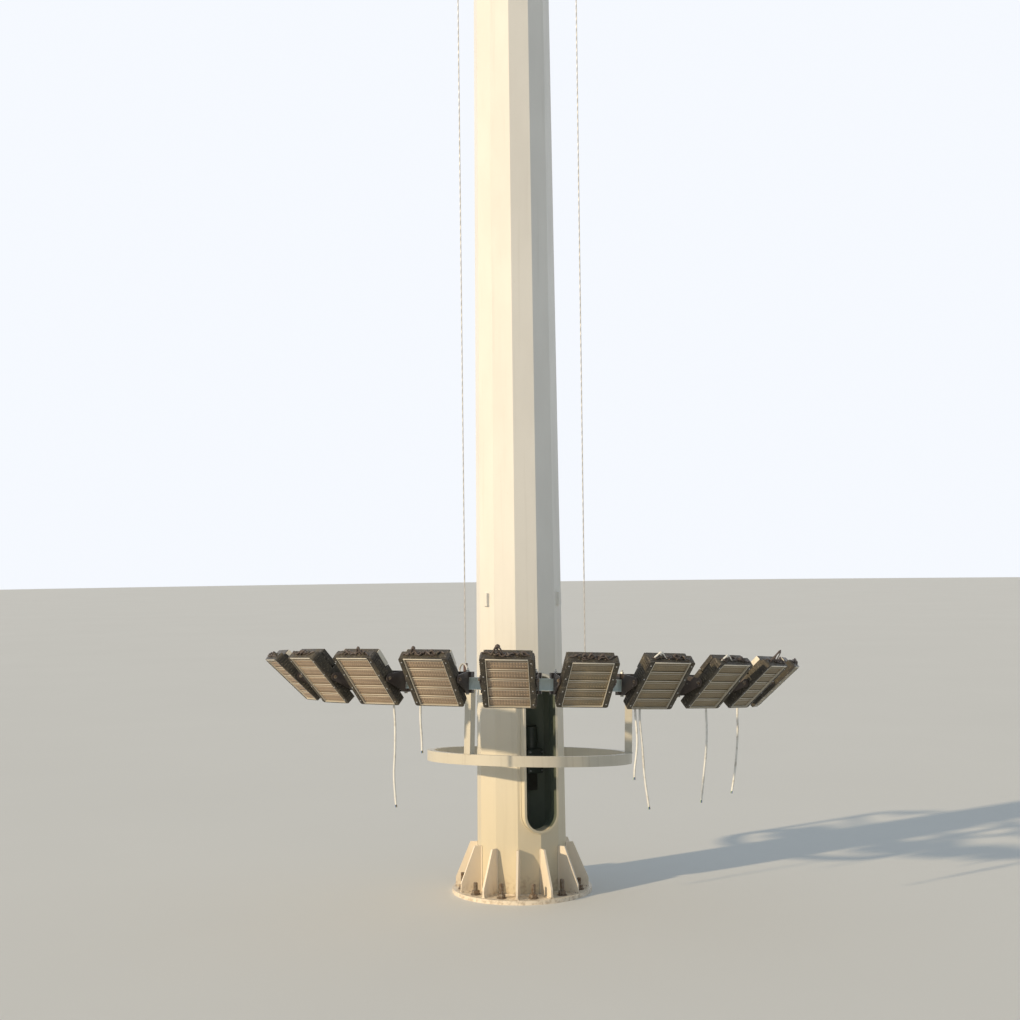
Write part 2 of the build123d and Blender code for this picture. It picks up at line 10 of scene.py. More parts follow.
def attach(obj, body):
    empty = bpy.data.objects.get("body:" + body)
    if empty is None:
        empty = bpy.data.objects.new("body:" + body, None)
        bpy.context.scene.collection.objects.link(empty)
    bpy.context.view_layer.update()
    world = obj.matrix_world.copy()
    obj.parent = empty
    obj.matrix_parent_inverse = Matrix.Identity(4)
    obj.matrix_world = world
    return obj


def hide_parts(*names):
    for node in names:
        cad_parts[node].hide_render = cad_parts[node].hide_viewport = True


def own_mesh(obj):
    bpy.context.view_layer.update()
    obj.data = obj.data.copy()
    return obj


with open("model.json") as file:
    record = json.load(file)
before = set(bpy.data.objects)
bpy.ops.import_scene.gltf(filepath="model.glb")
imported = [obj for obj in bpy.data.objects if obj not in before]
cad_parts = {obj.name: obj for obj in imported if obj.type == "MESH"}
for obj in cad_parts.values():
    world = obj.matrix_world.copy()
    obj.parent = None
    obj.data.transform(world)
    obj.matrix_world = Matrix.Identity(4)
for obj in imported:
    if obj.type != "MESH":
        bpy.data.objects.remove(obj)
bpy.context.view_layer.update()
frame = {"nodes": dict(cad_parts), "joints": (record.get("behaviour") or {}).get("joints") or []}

# The viewpoint: about eleven metres off and 2.3 metres up, tipped up a touch. The shaft leans
# left in the picture because the camera was held a little out of level.
image_width = 1020
focal_pixels = 1537.3
eye = Vector((0, -10.758, 2.330))
pitch_up = math.radians(1.653)
turn_left = math.radians(0.279)
roll_right = math.radians(0.703)
lens = bpy.data.cameras.new("viewpoint")
lens.sensor_width = 36
lens.lens = lens.sensor_width * focal_pixels / image_width
lens.clip_end = 500
viewpoint = bpy.data.objects.new("viewpoint", lens)
bpy.context.scene.collection.objects.link(viewpoint)
viewpoint.matrix_world = (
    Matrix.Translation(eye)
    @ Matrix.Rotation(turn_left, 4, "Z")
    @ Matrix.Rotation(math.pi / 2 + pitch_up, 4, "X")
    @ Matrix.Rotation(-roll_right, 4, "Z")
)
bpy.context.scene.camera = viewpoint


# The lamp leads: white sheathed cables of about fourteen millimetres that hang from black
# glands under the lamp brackets and end bare, with their cores showing, because the lamps
# aren't wired up yet. The routes are the hanging lines of the cables.
class Signal:
    """A socket of a finish, on which Python's operators add Math nodes."""

    def __init__(self, finish, socket):
        self.finish = finish
        self.socket = socket

    def combine(self, operation, *values):
        """Adds a Math node on the values and returns its output."""
        settings = {"operation": operation}
        return self.finish.node("ShaderNodeMath", settings, dict(enumerate(values)))

    def __add__(self, other):
        return self.combine("ADD", self, other)

    def __radd__(self, other):
        return self.combine("ADD", other, self)

    def __sub__(self, other):
        return self.combine("SUBTRACT", self, other)

    def __rsub__(self, other):
        return self.combine("SUBTRACT", other, self)

    def __mul__(self, other):
        return self.combine("MULTIPLY", self, other)

    def __rmul__(self, other):
        return self.combine("MULTIPLY", other, self)


class Finish:
    """A surface's material: a Principled shader and the nodes that feed it."""

    def __init__(self, name, **constants):
        self.material = bpy.data.materials.new(name)
        self.material.use_nodes = True
        self.tree = self.material.node_tree
        self.shader = self.tree.nodes["Principled BSDF"]
        for socket, value in constants.items():
            self.shader.inputs[socket.replace("_", " ").title()].default_value = value

    def node(self, kind, settings=None, sockets=None, output=0):
        """Adds one node, sets it up, fills or links its sockets and returns an output."""
        made = self.tree.nodes.new(kind)
        for name, value in (settings or {}).items():
            setattr(made, name, value)
        for socket, value in (sockets or {}).items():
            self.fill(made.inputs[socket], value)
        return Signal(self, made.outputs[output])

    def fill(self, socket, value):
        """Links a signal to a socket, or writes a number, vector or colour in it."""
        if isinstance(value, Signal):
            self.tree.links.new(value.socket, socket)
        elif hasattr(value, "__len__") and len(socket.default_value) == 4:
            socket.default_value = (*value, 1)[:4]
        else:
            socket.default_value = value

    def feed(self, **signals):
        """Joins varying values to the Principled shader, as base_color or roughness."""
        for socket, value in signals.items():
            self.fill(self.shader.inputs[socket.replace("_", " ").title()], value)
        return self.material

    def place(self, *stretch):
        """Object coordinates, each axis multiplied: a small number draws it out."""
        at = self.node("ShaderNodeTexCoord", output=3)
        return self.node(
            "ShaderNodeVectorMath", {"operation": "MULTIPLY"}, {0: at, 1: stretch}
        )

    def height(self):
        """Height above the flange's underside, in metres, at rest."""
        at = self.node("ShaderNodeTexCoord", output=3)
        return self.node("ShaderNodeSeparateXYZ", sockets={0: at}, output=2)

    def noise(self, size, stretch=(1, 1, 1), detail=3, rough=0.55):
        """Soft noise from 0 to 1 with features of about size metres."""
        return self.node(
            "ShaderNodeTexNoise",
            sockets={
                "Vector": self.place(*stretch),
                "Scale": 1 / size,
                "Detail": detail,
                "Roughness": rough,
            },
        )

    def between(self, value, low, high):
        """Value as it goes from low to high, turned softly into 0 to 1."""
        settings = {"interpolation_type": "SMOOTHSTEP"}
        return self.node("ShaderNodeMapRange", settings, {0: value, 1: low, 2: high})

    def mix(self, share, first, second, kind="MIX"):
        """The first colour, going to the second by share."""
        return self.node(
            "ShaderNodeMix",
            {"data_type": "RGBA", "blend_type": kind},
            {0: share, 6: first, 7: second},
            output=2,
        )

    def bump(self, signal, depth, strength):
        """A normal from a height signal, depth metres deep at 1."""
        return self.node(
            "ShaderNodeBump",
            sockets={"Strength": strength, "Distance": depth, "Height": signal},
        )


def show(name, mesh, material, body, angle=35):
    """Makes a bmesh into a piece that rides on a body, smooth below the given angle."""
    data = bpy.data.meshes.new(name)
    bmesh.ops.recalc_face_normals(mesh, faces=mesh.faces)
    mesh.to_mesh(data)
    mesh.free()
    data.materials.append(material)
    data.polygons.foreach_set("use_smooth", [True] * len(data.polygons))
    data.set_sharp_from_angle(angle=math.radians(angle))
    piece = bpy.data.objects.new(name, data)
    bpy.context.scene.collection.objects.link(piece)
    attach(piece, body)
    return piece


def skin(mesh, rings, closed=False):
    """Joins rings of points into one surface, capped unless it closes on itself."""
    made = [[mesh.verts.new(point) for point in ring] for ring in rings]
    pairs = list(zip(made, made[1:]))
    if closed:
        pairs.append((made[-1], made[0]))
    for lower, upper in pairs:
        count = max(len(lower), len(upper))
        for step in range(count):
            after = (step + 1) % count
            corners = [
                lower[step % len(lower)],
                lower[after % len(lower)],
                upper[after % len(upper)],
                upper[step % len(upper)],
            ]
            mesh.faces.new(list(dict.fromkeys(corners)))
    for ring in (made[0], made[-1]):
        if len(ring) > 2 and not closed:
            mesh.faces.new(ring)


def turned(mesh, place, profile, sides):
    """Adds a turned solid: profile is (radius, height) pairs up the local z axis."""
    turns = [2 * math.pi * step / sides for step in range(sides)]
    rings = []
    for radius, height in profile:
        around = turns if radius else turns[:1]
        flat = [(radius * math.cos(turn), radius * math.sin(turn)) for turn in around]
        rings.append([place @ Vector((*point, height)) for point in flat])
    skin(mesh, rings)


def smooth_line(name, points, resolution):
    """A smooth curve that a few control points draw."""
    curve = bpy.data.curves.new(name, "CURVE")
    curve.dimensions = "3D"
    line = curve.splines.new("NURBS")
    line.points.add(len(points) - 1)
    for control, point in zip(line.points, points):
        control.co = (*point, 1)
    line.order_u = 3
    line.use_endpoint_u = True
    line.resolution_u = resolution
    return curve


def pointing(at, direction):
    """A place at a point with its z axis along a direction."""
    turn = Vector(direction).to_track_quat("Z", "Y")
    return Matrix.Translation(at) @ turn.to_matrix().to_4x4()


def facing(bearing, radius, height=0, along=0, centre=0):
    """A place that faces outwards at a bearing: x to the right, y up and z outwards."""
    turn = math.radians(bearing)
    right = Vector((math.cos(turn), math.sin(turn), 0))
    outward = Vector((math.sin(turn), -math.cos(turn), 0))
    place = Matrix((right, (0, 0, 1), outward)).transposed().to_4x4()
    place.translation = right * along + outward * radius + Vector((centre, 0, height))
    return place


upward = Matrix.Rotation(-math.pi / 2, 4, "X")
downward = Matrix.Rotation(math.pi / 2, 4, "X")

ring_offset = 0.071
ring_lean = 1.53
ring_pitch = 4.35
lean = math.radians(ring_lean + ring_pitch)
hang_centre = Vector((ring_offset, 0, 1.222))
hung = (
    Matrix.Translation(hang_centre)
    @ Matrix.Rotation(math.radians(-ring_pitch), 4, "X")
    @ Matrix.Rotation(math.radians(ring_lean), 4, "Y")
    @ Matrix.Translation(-hang_centre)
)
beam_bearing = 3.1
lamp_bearings = [beam_bearing + (number - 4.5) * 15.94 for number in range(10)]


def on_ring(bearing, radius, height, along=0):
    """A place on the hanging ring, given as it would be if the ring were level."""
    return hung @ facing(bearing, radius, height, along, ring_offset)


lead_radius = 0.007
clearance = 0.0003
lead_routes = {
    "lead_a": (3, 0.036, [(0, 0, 0.04), (0.004, -0.002, 0.1), (0.012, 0, 0.185),
                          (0.016, 0.006, 0.285), (0.008, 0.002, 0.385), (0.002, 0.006, 0.49),
                          (0.01, 0.008, 0.59), (0.016, 0.004, 0.68)]),
    "lead_b": (4, -0.165, [(0, 0, 0.04), (-0.005, -0.002, 0.1), (-0.002, 0.002, 0.18),
                           (0.006, 0.004, 0.265), (0.005, 0, 0.34)]),
    "lead_c": (7, -0.052, [(0, 0, 0.04), (0.004, -0.002, 0.1), (0.01, 0.002, 0.18),
                           (0.012, 0.006, 0.27), (0.004, 0.002, 0.36), (-0.008, 0, 0.43),
                           (-0.012, 0.004, 0.48)]),
    "lead_d": (7, -0.014, [(0, 0, 0.04), (-0.004, -0.002, 0.1), (-0.002, 0.004, 0.19),
                           (0.008, 0.008, 0.29), (0.016, 0.004, 0.39), (0.026, 0, 0.49),
                           (0.038, 0.004, 0.585), (0.05, 0.006, 0.665)]),
    "lead_e": (8, 0.125, [(0, 0, 0.04), (0.005, -0.002, 0.105), (0.006, 0.002, 0.2),
                          (-0.006, 0.006, 0.31), (-0.02, 0.002, 0.42), (-0.038, 0, 0.53),
                          (-0.06, 0.004, 0.635)]),
    "lead_f": (9, 0.168, [(0, 0, 0.04), (-0.004, -0.002, 0.1), (-0.002, 0, 0.19),
                          (-0.006, -0.004, 0.29), (-0.016, -0.01, 0.4),
                          (-0.03, -0.018, 0.505), (-0.046, -0.03, 0.605)]),
}
clip_radius = 0.011
clip_height = 0.016
clip_top = 1.3754
bar_inner = 1.472
sheath = Finish("white_sheath", roughness=0.42, coat_weight=0.1)
grime = sheath.between(sheath.noise(0.05, detail=4), 0.45, 0.75)
sheath.feed(
    base_color=sheath.mix(grime, (0.80, 0.79, 0.74), (0.55, 0.52, 0.45)),
    normal=sheath.bump(sheath.noise(0.004), 0.0003, 0.4),
)
core_colours = {"brown": (0.17, 0.07, 0.03), "blue": (0.03, 0.12, 0.38), "green": (0.25, 0.42, 0.05)}
core_finishes = []
for colour, value in core_colours.items():
    core = Finish(f"core_{colour}", roughness=0.35)
    shade = core.noise(0.01)
    core.feed(base_color=core.mix(shade, value, tuple(part * 0.75 for part in value)))
    core_finishes.append(core.material)

core_profile = [(0.0022, 0), (0.0022, 0.015), (0.0010, 0.0151), (0.0010, 0.019)]
for node, (number, along, route) in lead_routes.items():
    bearing = lamp_bearings[number - 1]
    mouth = facing(bearing, bar_inner + clip_radius, clip_top, along, ring_offset)
    right, outward = mouth.col[0].xyz, mouth.col[2].xyz
    exit = hung @ (mouth.translation - Vector((0, 0, clip_height)))
    exit.z -= clearance + lead_radius * math.tan(lean)
    points = [exit] + [
        exit + right * across + outward * out - Vector((0, 0, down))
        for across, out, down in route
    ]
    curve = smooth_line(node, points, 8)
    curve.bevel_depth = lead_radius
    curve.bevel_resolution = 4
    curve.use_fill_caps = True
    curve.materials.append(sheath.material)
    lead = bpy.data.objects.new(f"{node}_sheath", curve)
    bpy.context.scene.collection.objects.link(lead)
    # Three stripped cores stand out of the bare end
    stub = bmesh.new()
    down = (points[-1] - points[-2]).normalized()
    for turn in range(3):
        side = Matrix.Rotation(2 * math.pi * turn / 3, 3, down) @ right
        start = points[-1] + side * 0.0031 - down * 0.001
        turned(stub, pointing(start, down + side * 0.12), core_profile, 8)
    cores = show(f"{node}_cores", stub, core_finishes[0], "lamp_ring")
    for extra in core_finishes[1:]:
        cores.data.materials.append(extra)
    faces = len(cores.data.polygons) // 3
    for index, polygon in enumerate(cores.data.polygons):
        polygon.material_index = min(index // faces, 2)
    length = sum((after - before).length for before, after in zip(points, points[1:]))
    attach(lead, "lamp_ring")
    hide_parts(node)


# The white paint of the mast: sprayed over zinc, with an orange-peel skin, rain streaks,
# brown specks and splashed earth near the ground. Faces that look in towards the axis are
# grey-green in the shaft, and near black on the door frame's jambs as a painted shade.
def dress(material, *nodes):
    """Gives CAD nodes a material."""
    for node in nodes:
        for holder in frame["nodes"][node].material_slots:
            holder.material = material


def painted(name, colour, dirt, streak, splash=0.0, inner_colour_and_shade=None, bounce_tint_top=None):
    """White paint: streaked, specked, earth at the foot, and a painted warm bounce light low down."""
    paint = Finish(name, coat_weight=0.08, coat_roughness=0.3)
    cloud = paint.noise(0.4, (1, 1, 0.4), detail=4)
    base = paint.mix(
        paint.between(cloud, 0.35, 0.7), colour, tuple(part * 0.93 for part in colour)
    )
    rain = paint.between(paint.noise(0.035, (1, 1, 0.035), detail=5), 0.52, 0.74)
    base = paint.mix(rain * streak, base, dirt)
    fleck = paint.between(paint.noise(0.009, detail=2), 0.74, 0.79)
    base = paint.mix(fleck * 0.4, base, (0.24, 0.18, 0.12))
    # Painted warm light bounced up from the ground: below the given top the colour turns yellower and
    # darker.
    if bounce_tint_top:
        drift = paint.between(paint.height() + cloud * 0.3, bounce_tint_top, 0.4)
        base = paint.mix(drift, base, (0.80, 0.73, 0.575), "MULTIPLY")
    if splash:
        rise = paint.height() + paint.noise(0.09, detail=5) * -0.12
        mud = paint.between(rise, splash, splash - 0.1) * paint.between(
            paint.noise(0.025, detail=5), 0.42, 0.68
        )
        base = paint.mix(mud * 0.55, base, (0.34, 0.25, 0.16))
    # Faces that look in towards the axis take their own colour: on the door frame's jambs it is a
    # painted shade.
    if inner_colour_and_shade:
        at = paint.place(1, 1, 0)
        normal = paint.node("ShaderNodeNewGeometry", output=1)
        out = paint.node(
            "ShaderNodeVectorMath", {"operation": "DOT_PRODUCT"}, {0: at, 1: normal}, output=1
        )
        base = paint.mix(paint.between(out, -0.02, -0.05), base, inner_colour_and_shade)
    peel = paint.noise(0.0035, detail=2)
    dents = paint.noise(0.16, (1, 1, 0.5), detail=1)
    return paint.feed(
        base_color=base,
        roughness=0.36 + cloud * 0.25 + rain * 0.12,
        normal=paint.bump(peel + dents * 4, 0.0004, 0.5),
    )


mast_white = painted(
    "mast_white", (0.81, 0.785, 0.73), (0.55, 0.52, 0.46), 0.14, 0.12, (0.42, 0.46, 0.37), 2.4
)
# The door frame's white, with its inner jambs near black as a painted shade.
frame_white_jamb_shade = painted(
    "frame_white_jamb_shade", (0.80, 0.77, 0.70), (0.55, 0.52, 0.46), 0.14, 0.12, (0.11, 0.13, 0.10), 2.4
)
# The base's cream is the white paint with the painted warm ground light already mixed in.
base_white = painted(
    "base_white", (0.83, 0.735, 0.60), (0.50, 0.42, 0.32), 0.2, 0.05, (0.05, 0.05, 0.04)
)
dress(mast_white, "shaft_lower", "shaft_middle", "shaft_upper", "shaft_lugs")
dress(frame_white_jamb_shade, "door_frame")
dress(base_white, "base_flange", "base_gussets")


# Bearings are degrees from the camera's side; mid_flat is a flat's distance over a corner's
first_corner = -4.5
mid_flat = 0.9659
rear_flat = 160.5
rope_bearings = [-49.5, 70.5, 190.5]


def corner_radius(height):
    """Distance from the axis to the shaft's corners at a height."""
    return 0.31 - 0.00716 * height


def along_path(points, step, closed=False):
    """Points at an even step along straight runs."""
    runs = list(zip(points, points[1:] + points[:1] if closed else points[1:]))
    walked = []
    for start, end in runs:
        count = max(1, round((end - start).length / step))
        walked += [start.lerp(end, part / count) for part in range(count)]
    return walked if closed else walked + [points[-1]]


def pipe(mesh, points, radius, sides, closed=False):
    """A round skin along points. The radius is a number or a function of the step."""
    rings = []
    side = None
    count = len(points)
    for step, point in enumerate(points):
        before = points[(step - 1) % count] if closed or step else point
        after = points[(step + 1) % count] if closed or step < count - 1 else point
        heading = (after - before).normalized()
        if side is None:
            side = heading.orthogonal().normalized()
        side = (side - heading * side.dot(heading)).normalized()
        other = heading.cross(side)
        size = radius(step) if callable(radius) else radius
        rings.append(
            [
                point
                + (side * math.cos(turn) + other * math.sin(turn)) * size
                for turn in (2 * math.pi * corner / sides for corner in range(sides))
            ]
        )
    skin(mesh, rings, closed)


def weld(mesh, points, radius=0.004, step=0.005, closed=False):
    """A weld bead, rippled as the welder's hand moved on."""
    path = along_path([Vector(point) for point in points], step, closed)
    drift = random.Random(len(path)).random() * 6

    def ripple(place):
        return radius * (1 + 0.16 * math.sin(place * 2.1 + drift) + 0.06 * math.sin(place * 0.7))

    pipe(mesh, path, ripple, 6, closed)


def shaft_corner(step, height, grow):
    """A corner of the shaft, outside at a height."""
    bearing = first_corner + 30 * step
    return facing(bearing, corner_radius(height) + grow, height).translation


# Weld beads on the flange and the gussets: hand-welded fillets under the same white paint,
# round the foot of the shaft and up both sides of each gusset.
flange_top = 0.0283
gusset_reach, gusset_top = 0.462, 0.331
beads = bmesh.new()
around = [shaft_corner(step, flange_top, 0.004) for step in range(12)]
weld(beads, around, 0.006, 0.006, closed=True)
for step in range(12):
    bearing = first_corner + 30 * step
    for side in (-0.009, 0.009):
        foot = [
            facing(bearing, radius, flange_top + 0.002, side).translation
            for radius in (corner_radius(flange_top), gusset_reach)
        ]
        rise = [
            facing(bearing, corner_radius(high) - 0.001, high, side).translation
            for high in (flange_top, gusset_top)
        ]
        weld(beads, foot, 0.0045)
        weld(beads, rise, 0.0045)
show("base_welds", beads, base_white, "mast", 80)

# Twelve anchor bolts hold the flange down: galvanised studs of thirty millimetres cast in
# the footing, each with a washer and a nut, gone dull and brown with rain and earth.
zinc = Finish("dull_zinc", metallic=0.6)
patina = zinc.noise(0.02, detail=5)
spangle = zinc.node(
    "ShaderNodeTexVoronoi", sockets={"Vector": zinc.place(1, 1, 1), "Scale": 90.0}
)
zinc_colour = zinc.mix(spangle, (0.50, 0.51, 0.52), (0.36, 0.37, 0.38))
zinc.feed(
    base_color=zinc.mix(zinc.between(patina, 0.5, 0.75), zinc_colour, (0.24, 0.22, 0.19)),
    roughness=0.42 + patina * 0.3,
    normal=zinc.bump(patina, 0.0006, 0.4),
)
rusty = Finish("weathered_bolt", metallic=0.25)
crust = rusty.noise(0.012, detail=6, rough=0.65)
rusty_colour = rusty.mix(rusty.between(crust, 0.38, 0.6), (0.27, 0.235, 0.19), (0.15, 0.095, 0.055))
rusty.feed(
    base_color=rusty_colour,
    roughness=0.62 + crust * 0.3,
    normal=rusty.bump(crust, 0.0012, 0.6),
)


def nut(mesh, place, across, height):
    """A chamfered nut or bolt head, standing on the place's xy plane."""
    corner = across / math.sqrt(3)
    profile = [
        (corner * 0.9, 0),
        (corner, height * 0.12),
        (corner, height * 0.86),
        (corner * 0.88, height),
        (corner * 0.45, height * 1.02),
    ]
    turned(mesh, place, profile, 6)


def washered(mesh, place, radius, thick, across, height):
    """A flat washer with eased edges, and a nut on it."""
    ease = thick * 0.25
    profile = [(radius - ease, 0), (radius, ease), (radius, thick - ease), (radius - ease, thick)]
    turned(mesh, place, profile, 20)
    nut(mesh, place @ Matrix.Translation((0, 0, thick)), across, height)


def thread(mesh, place, radius, low, high, pitch):
    """A threaded stud with a chamfered end."""
    profile = []
    height = low
    while height < high - pitch:
        profile += [(radius * 0.9, height), (radius, height + pitch / 2)]
        height += pitch
    turned(mesh, place, profile + [(radius * 0.9, height), (radius * 0.7, high)], 12)


bolt_circle = 0.415
studs = bmesh.new()
for step in range(12):
    seat = facing(first_corner + 15 + 30 * step, bolt_circle, 0.0282) @ upward
    washered(studs, seat, 0.034, 0.005, 0.048, 0.025)
    thread(studs, seat, 0.015, 0.026, 0.096 + 0.016 * math.sin(step * 2.3), 0.0042)
show("anchor_bolts", studs, rusty.material, "mast", 40)

# The shaft's own welds: one long seam down the back, a sealing bead where each section slips
# over the one below, and fillets round the door frame and the stop lugs.
seams = bmesh.new()
for low, high, grow in ((0.4, 7.79, 0.0), (7.81, 16.39, 0.0073), (16.41, 24.99, 0.0137)):
    ends = []
    for height in (low, high):
        flat = (corner_radius(height) + grow) * mid_flat + grow * 0.03
        ends.append(facing(rear_flat, flat, height).translation)
    weld(seams, ends, 0.003, 0.012)
for height, grow in ((7.8, 0.004), (16.4, 0.011)):
    around = [shaft_corner(step, height, grow) for step in range(12)]
    weld(seams, around, 0.005, 0.008, closed=True)
door_bearing = 25.5
door_middle = 0.980
frame_half = 0.128
frame_straight = 0.413
around = []
for step in range(25):
    turn = math.pi * step / 24
    around.append((frame_half * math.cos(turn), frame_straight + frame_half * math.sin(turn)))
around += [(-across, -up) for across, up in around]
door_bead = []
for across, up in around:
    across, up = across * 1.02, up * 1.006
    height = door_middle + up
    surface = corner_radius(height) - abs(across) * math.tan(math.radians(15))
    door_bead.append(facing(door_bearing, surface, height, across).translation)
weld(seams, door_bead, 0.006, 0.006, closed=True)
lug_outline = [(-0.021, 1.977), (0.021, 1.977), (0.021, 2.066), (-0.021, 2.066)]
for bearing in rope_bearings:
    path = [
        facing(bearing, corner_radius(high) * mid_flat, high, across).translation
        for across, high in lug_outline
    ]
    weld(seams, path, 0.0045, 0.005, closed=True)
show("shaft_welds", seams, mast_white, "mast", 80)


# The winch inside the door: a steel drum wound with rope, cheeks and a gearbox in a very
# dark green, greasy and in the dark, so only its near parts show through the opening. The
# greased steel and the gearbox green are set darker still, partly a painted shade.
def inset(outline, amount):
    """An outline drawn in by an amount on every side."""
    moved = []
    count = len(outline)
    for step in range(count):
        before, here, after = (Vector(outline[(step + k) % count]) for k in (-1, 0, 1))
        first, second = (here - before).normalized(), (after - here).normalized()
        inward = Vector((-first.y, first.x)) + Vector((-second.y, second.x))
        moved.append(here + inward * (amount / max(0.3, 1 + first.dot(second))))
    return moved


def prism(mesh, place, outline, low, high, ease):
    """An outline drawn out along the place's z axis, with its end edges eased."""
    levels = [(low, ease), (low + ease, 0), (high - ease, 0), (high, ease)]
    rings = [
        [place @ Vector((*point, height)) for point in inset(outline, drawn)]
        for height, drawn in levels
    ]
    skin(mesh, rings)


def slab(mesh, place, low, high, ease):
    """A box between two corners, with its long edges and its ends eased."""
    (x0, y0, z0), (x1, y1, z1) = low, high
    outline = [
        (x0 + ease, y0), (x1 - ease, y0), (x1, y0 + ease), (x1, y1 - ease),
        (x1 - ease, y1), (x0 + ease, y1), (x0, y1 - ease), (x0, y0 + ease),
    ]
    prism(mesh, place, outline, z0, z1, ease)


def rounded(width, height, radius, steps=5):
    """The outline of a rounded rectangle about the origin."""
    half_width, half_height = width / 2 - radius, height / 2 - radius
    outline = []
    for quarter, (x, y) in enumerate(((1, 1), (-1, 1), (-1, -1), (1, -1))):
        for step in range(steps + 1):
            turn = math.pi / 2 * (quarter + step / steps)
            across, up = radius * math.cos(turn), radius * math.sin(turn)
            outline.append((x * half_width + across, y * half_height + up))
    return outline


# Greased steel and gearbox green, both set very dark: partly a painted shade.
greased_and_shaded = Finish("greased_shaded_steel", metallic=0.3)
film = greased_and_shaded.noise(0.03, detail=5)
greased_and_shaded.feed(
    base_color=greased_and_shaded.mix(film, (0.20, 0.20, 0.17), (0.10, 0.09, 0.07)),
    roughness=0.3 + film * 0.35,
    normal=greased_and_shaded.bump(film, 0.0005, 0.4),
)
gear_green = Finish("gearbox_paint", coat_weight=0.15)
chips = gear_green.between(gear_green.noise(0.018, detail=5), 0.6, 0.66)
gear_green.feed(
    base_color=gear_green.mix(chips, (0.085, 0.10, 0.08), (0.13, 0.125, 0.105)),
    roughness=0.42 + chips * 0.3,
    normal=gear_green.bump(gear_green.noise(0.004) - chips * 0.5, 0.0004, 0.6),
)
dress(greased_and_shaded.material, "winch_plate", "winch_drum")
dress(gear_green.material, "winch_gearbox")
strand = Finish("rope_strands", metallic=0.55)
dull = strand.noise(0.02, detail=4)
strand.feed(
    base_color=strand.mix(dull, (0.60, 0.59, 0.57), (0.42, 0.40, 0.37)),
    roughness=0.38 + dull * 0.3,
    normal=strand.bump(strand.noise(0.0016), 0.0003, 0.5),
)
dress(strand.material, "main_rope")
coil_radius = 0.0753
coil_pitch = 0.0102
coil_steps = 24
wound = bmesh.new()
coil = []
for step in range(13 * coil_steps + 1):
    turn = 2 * math.pi * step / coil_steps
    at = facing(door_bearing, -coil_radius, 0.88, -0.098 + coil_pitch * step / coil_steps)
    coil.append(at @ Vector((0, coil_radius * math.cos(turn), coil_radius * math.sin(turn))))
pipe(wound, coil, 0.0049, 7)
show("drum_winding", wound, strand.material, "mast")
fixings = bmesh.new()
for along in (-0.155, 0.085):
    for high in (0.70, 1.06):
        plate = facing(door_bearing, -0.1851, high, along)
        washered(fixings, plate, 0.014, 0.0025, 0.019, 0.009)
for along in (0.075, 0.165):
    for high in (0.815, 0.945):
        nut(fixings, facing(door_bearing, -0.0003, high, along), 0.013, 0.008)
show("winch_bolts", fixings, zinc.material, "mast")

# The head: hot-dip galvanised arms and sheaves under a painted sheet cover with rivets round
# its skirt, and a lightning rod clamped in its socket.
dress(zinc.material, "head_frame", "head_sheaves", "lightning_rod")
dress(painted("cover_white", (0.79, 0.78, 0.75), (0.40, 0.38, 0.34), 0.35), "head_cover")
rope_top = 25.1023
skirt_radius, rivet_height = 0.5598, 25.16
rivet = [(0.008, 0), (0.0075, 0.002), (0.004, 0.0035), (0, 0.004)]
head = bmesh.new()
for bearing in rope_bearings:
    hub = facing(bearing, 0.3986, rope_top)
    right = hub.col[0].xyz
    for side in (-1, 1):
        cheek = pointing(hub.translation + right * side * 0.0242, right * side)
        washered(head, cheek, 0.018, 0.003, 0.026, 0.012)
for step in range(24):
    turned(head, facing(15 * step, skirt_radius, rivet_height), rivet, 10)
for step in range(3):
    nut(head, facing(120 * step, 0.0215, 25.405), 0.013, 0.009)
show("head_fittings", head, zinc.material, "mast")

# Three hoist ropes: six-strand stainless rope of eight millimetres from the sheaves down to
# the sockets on the ring, drawn as they hang at rest; on the mast they run in over the
# sheaves as the ring rises. They are so thin that no shadow of them shows on the shaft.
rope_circle = 0.48
rope_radius = 0.004
lay_length = 0.055
socket_height = 1.5603
hoist_range = {joint["name"]: joint for joint in frame["joints"]}["ring_hoist"]["range_m"][1]
level = hung.inverted()
socket_tops = []
for bearing in rope_bearings:
    low = level @ facing(bearing, rope_circle, hang_centre.z).translation
    rise = level @ facing(bearing, rope_circle, hang_centre.z + 1).translation - low
    socket_tops.append(low + rise * ((socket_height - low.z) / rise.z))
for number, (bearing, socket) in enumerate(zip(rope_bearings, socket_tops), start=1):
    foot = (hung @ socket).z + clearance + rope_radius * math.tan(lean)
    axis = facing(bearing, rope_circle).translation
    rope = bmesh.new()
    rings = []
    count = 1850
    for step in range(count + 1):
        height = foot + (rope_top - foot) * step / count
        twist = 2 * math.pi * height / lay_length / 6
        rings.append(
            [
                axis
                + Vector((math.cos(turn + twist), math.sin(turn + twist), 0))
                * (rope_radius if corner % 2 else 0.0031)
                + Vector((0, 0, height))
                for corner, turn in enumerate(math.pi * k / 6 for k in range(12))
            ]
        )
    skin(rope, rings)
    piece = show(f"hoist_rope_{number}", rope, strand.material, "mast", 60)
    piece.visible_shadow = False
    room = rope_top - foot
    (room - hoist_range) / room
    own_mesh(piece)
    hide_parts("hoist_ropes")


